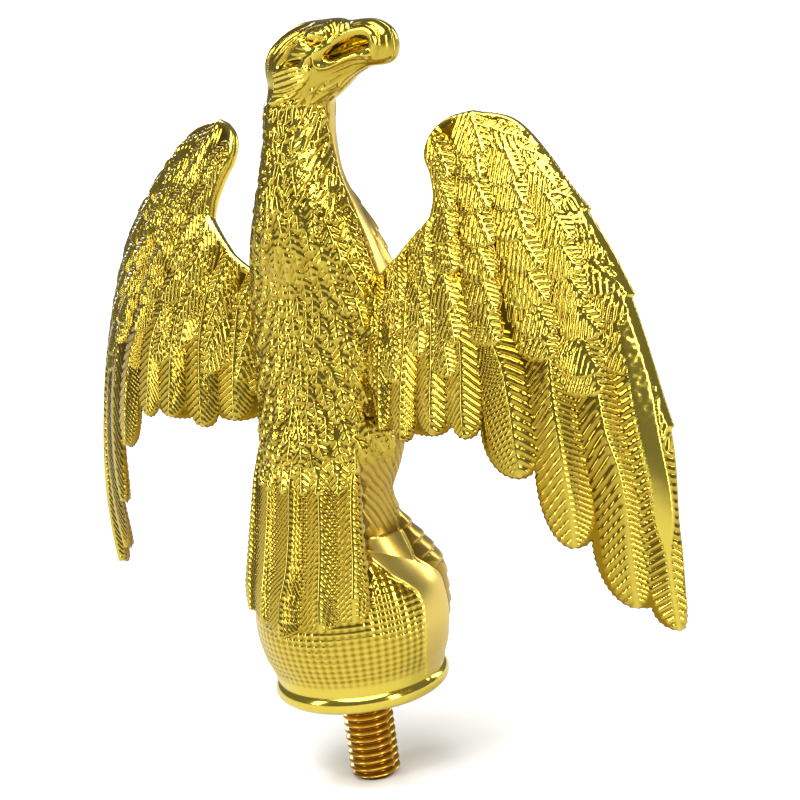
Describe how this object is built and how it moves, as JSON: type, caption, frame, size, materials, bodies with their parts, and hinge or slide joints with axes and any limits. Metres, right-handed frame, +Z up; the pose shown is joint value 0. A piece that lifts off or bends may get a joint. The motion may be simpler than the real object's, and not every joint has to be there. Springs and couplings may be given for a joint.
{
  "type": "flag pole finial",
  "caption": "Gold-plated eagle finial with spread wings, gripping a ball on a ringed seat, held on a pole by a threaded stud.",
  "frame": {"origin": "centre of the flat seat under the ring, on the axis of the stud", "axes": "+Z up through the figure, -Y the way the eagle's chest faces, +X towards its left wing"},
  "size_m": [0.1832, 0.0515, 0.1895],
  "materials": {
    "gold_plated_plastic": "bright mirror gold plating",
    "brass_plated_steel": "brass plated thread",
    "dowel_plastic": "as moulded"
  },
  "bodies": {
    "root": {"rear_body_shell": "gold_plated_plastic", "front_body_shell": "gold_plated_plastic", "left_wing": "gold_plated_plastic", "right_wing": "gold_plated_plastic", "base_plug": "gold_plated_plastic", "threaded_stud": "brass_plated_steel", "stud_washer": "brass_plated_steel", "stud_nut": "brass_plated_steel", "neck_dowel": "dowel_plastic", "hip_dowel": "dowel_plastic", "left_wing_upper_dowel": "dowel_plastic", "left_wing_lower_dowel": "dowel_plastic", "right_wing_upper_dowel": "dowel_plastic", "right_wing_lower_dowel": "dowel_plastic"}
  },
  "joints": []
}
